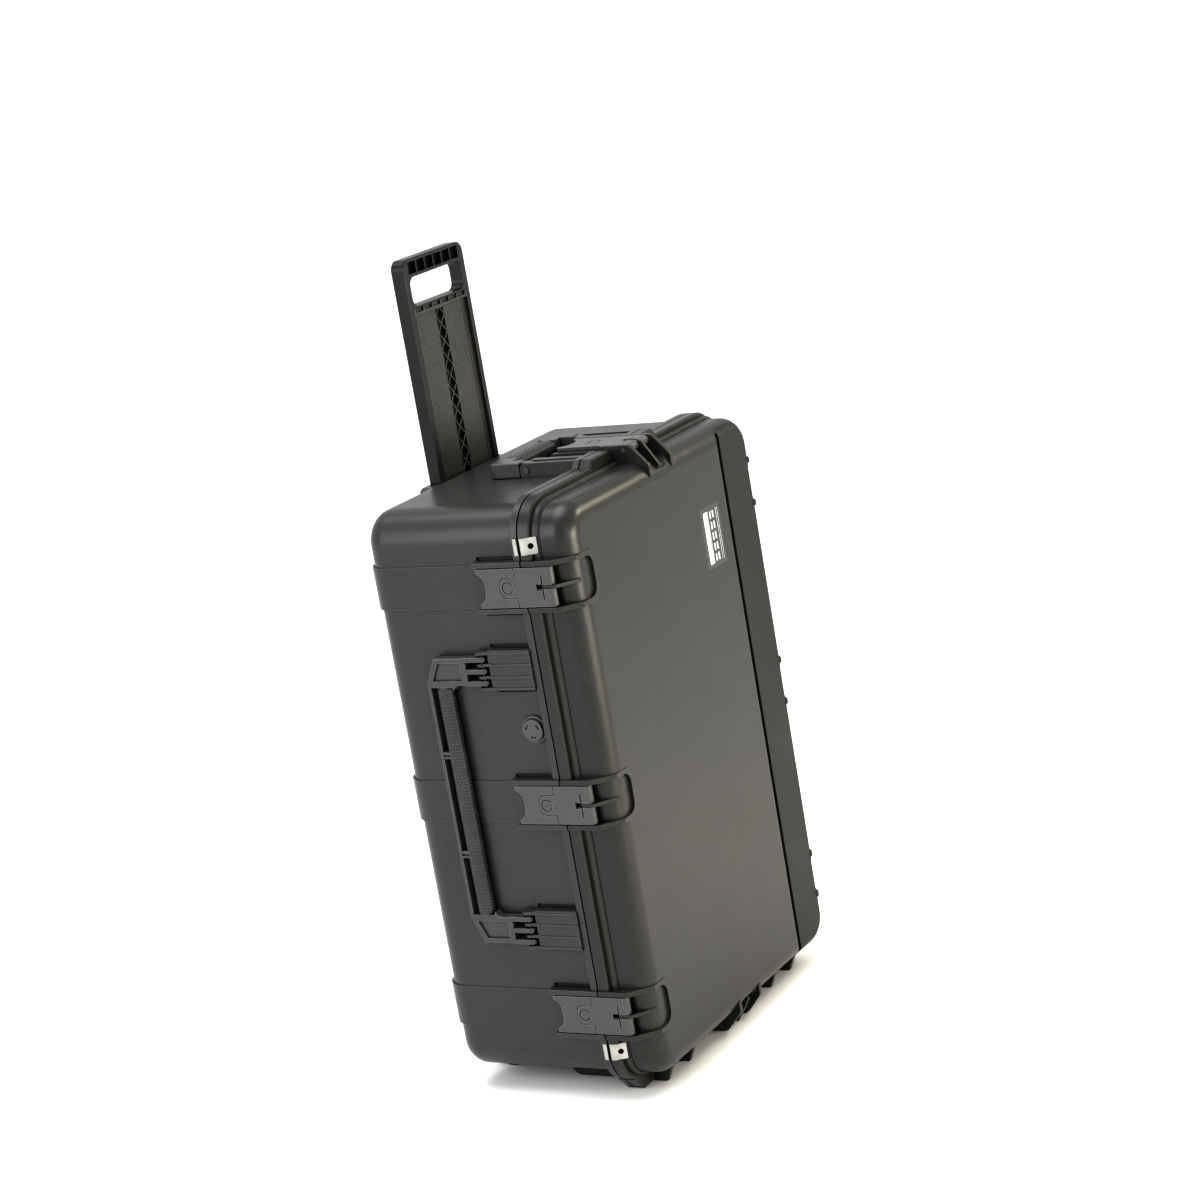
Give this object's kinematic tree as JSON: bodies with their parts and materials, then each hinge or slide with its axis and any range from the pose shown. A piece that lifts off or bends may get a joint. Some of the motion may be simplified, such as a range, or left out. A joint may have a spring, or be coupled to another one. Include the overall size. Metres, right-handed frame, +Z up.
{
  "type": "wheeled hard equipment case",
  "caption": "Black moulded equipment case standing on end, with a hinged lid, lever latches, two carry handles, a pull handle and transport wheels.",
  "frame": {"origin": "middle of the whole object's box, at the floor it stands on", "axes": "+Z up the case's long axis and along the pull handle, -Y out of the lid face, -X out of the latch side"},
  "size_m": [0.58, 0.3406, 1.16],
  "materials": {
    "shell": "fine satin grain",
    "latch": "satin",
    "handle": "satin",
    "grip": "matt with raised dots",
    "steel": "brushed",
    "pin": "dark",
    "foot": "matt",
    "tyre": "matt",
    "hub": "satin",
    "seal": "matt",
    "label": "gloss"
  },
  "bodies": {
    "case_base": {"base_shell": "shell", "hinge_pins": "pin", "front_handle_pins": "pin", "top_handle_pins": "pin", "pull_handle_cover": "shell", "cover_screws": "steel", "wheel_axles": "steel", "foot_left": "foot", "foot_right": "foot", "foot_screws": "steel", "lock_plates_base": "steel", "valve_body": "latch", "valve_nut": "latch"},
    "lid": {"lid_shell": "shell", "lid_seal": "seal", "latch_pins": "pin", "lock_plates_lid": "steel", "label_plate": "label"},
    "latch_arm_front_upper": {"latch_arm_front_upper": "latch", "trigger_pin_front_upper": "pin", "trigger_spring_front_upper": "steel"},
    "latch_trigger_front_upper": {"latch_trigger_front_upper": "latch"},
    "latch_arm_front_middle": {"latch_arm_front_middle": "latch", "trigger_pin_front_middle": "pin", "trigger_spring_front_middle": "steel"},
    "latch_trigger_front_middle": {"latch_trigger_front_middle": "latch"},
    "latch_arm_front_lower": {"latch_arm_front_lower": "latch", "trigger_pin_front_lower": "pin", "trigger_spring_front_lower": "steel"},
    "latch_trigger_front_lower": {"latch_trigger_front_lower": "latch"},
    "latch_arm_top_end": {"latch_arm_top_end": "latch", "trigger_pin_top_end": "pin", "trigger_spring_top_end": "steel"},
    "latch_trigger_top_end": {"latch_trigger_top_end": "latch"},
    "latch_arm_bottom_end": {"latch_arm_bottom_end": "latch", "trigger_pin_bottom_end": "pin", "trigger_spring_bottom_end": "steel"},
    "latch_trigger_bottom_end": {"latch_trigger_bottom_end": "latch"},
    "front_handle": {"front_handle_frame": "handle", "front_handle_grip": "grip"},
    "top_handle": {"top_handle_frame": "handle", "top_handle_grip": "grip"},
    "pull_handle": {"pull_handle_blade": "handle"},
    "wheel_left": {"wheel_left_hub": "hub", "wheel_left_tyre": "tyre"},
    "wheel_right": {"wheel_right_hub": "hub", "wheel_right_tyre": "tyre"},
    "valve_cap": {"valve_cap": "latch"}
  },
  "joints": [
    {"name": "lid_hinge", "type": "hinge", "parent": "case_base", "child": "lid", "pos_m": [0.2835, -0.0957, 0.437], "axis": [0, 0, 1], "range_deg": [0, 105]},
    {"name": "latch_front_upper", "type": "hinge", "parent": "lid", "child": "latch_arm_front_upper", "pos_m": [-0.279, -0.1337, 0.7422], "axis": [0, 0, 1], "range_deg": [0, 100]},
    {"name": "trigger_front_upper", "type": "hinge", "parent": "latch_arm_front_upper", "child": "latch_trigger_front_upper", "pos_m": [-0.2828, -0.0757, 0.7422], "axis": [0, 0, 1], "range_deg": [0, 25], "stiffness_Nm_per_rad": 0.1, "springref_deg": -8.59},
    {"name": "latch_front_middle", "type": "hinge", "parent": "lid", "child": "latch_arm_front_middle", "pos_m": [-0.279, -0.1337, 0.437], "axis": [0, 0, 1], "range_deg": [0, 100]},
    {"name": "trigger_front_middle", "type": "hinge", "parent": "latch_arm_front_middle", "child": "latch_trigger_front_middle", "pos_m": [-0.2828, -0.0757, 0.437], "axis": [0, 0, 1], "range_deg": [0, 25], "stiffness_Nm_per_rad": 0.1, "springref_deg": -8.59},
    {"name": "latch_front_lower", "type": "hinge", "parent": "lid", "child": "latch_arm_front_lower", "pos_m": [-0.279, -0.1337, 0.1318], "axis": [0, 0, 1], "range_deg": [0, 100]},
    {"name": "trigger_front_lower", "type": "hinge", "parent": "latch_arm_front_lower", "child": "latch_trigger_front_lower", "pos_m": [-0.2828, -0.0757, 0.1318], "axis": [0, 0, 1], "range_deg": [0, 25], "stiffness_Nm_per_rad": 0.1, "springref_deg": -8.59},
    {"name": "latch_top_end", "type": "hinge", "parent": "lid", "child": "latch_arm_top_end", "pos_m": [0, -0.1337, 0.8646], "axis": [1, 0, 0], "range_deg": [0, 100]},
    {"name": "trigger_top_end", "type": "hinge", "parent": "latch_arm_top_end", "child": "latch_trigger_top_end", "pos_m": [0, -0.0757, 0.8684], "axis": [1, 0, 0], "range_deg": [0, 25], "stiffness_Nm_per_rad": 0.1, "springref_deg": -8.59},
    {"name": "latch_bottom_end", "type": "hinge", "parent": "lid", "child": "latch_arm_bottom_end", "pos_m": [0, -0.1337, 0.0094], "axis": [-1, 0, 0], "range_deg": [0, 100]},
    {"name": "trigger_bottom_end", "type": "hinge", "parent": "latch_arm_bottom_end", "child": "latch_trigger_bottom_end", "pos_m": [0, -0.0757, 0.0056], "axis": [-1, 0, 0], "range_deg": [0, 25], "stiffness_Nm_per_rad": 0.1, "springref_deg": -8.59},
    {"name": "front_handle_swing", "type": "hinge", "parent": "case_base", "child": "front_handle", "pos_m": [-0.281, -0.0057, 0.4415], "axis": [0, 0, 1], "range_deg": [0, 90]},
    {"name": "top_handle_swing", "type": "hinge", "parent": "case_base", "child": "top_handle", "pos_m": [0, -0.0057, 0.8558], "axis": [1, 0, 0], "range_deg": [0, 90]},
    {"name": "pull_handle_slide", "type": "slide", "parent": "case_base", "child": "pull_handle", "axis": [0, 0, 1], "range_m": [-0.29, 0]},
    {"name": "wheel_left_spin", "type": "hinge", "parent": "case_base", "child": "wheel_left", "pos_m": [-0.169, 0.1333, 0.037], "axis": [1, 0, 0], "continuous": true},
    {"name": "wheel_right_spin", "type": "hinge", "parent": "case_base", "child": "wheel_right", "pos_m": [0.169, 0.1333, 0.037], "axis": [1, 0, 0], "continuous": true},
    {"name": "valve_cap_turn", "type": "hinge", "parent": "case_base", "child": "valve_cap", "pos_m": [-0.2764, -0.0642, 0.541], "axis": [1, 0, 0], "range_deg": [0, 90]}
  ]
}
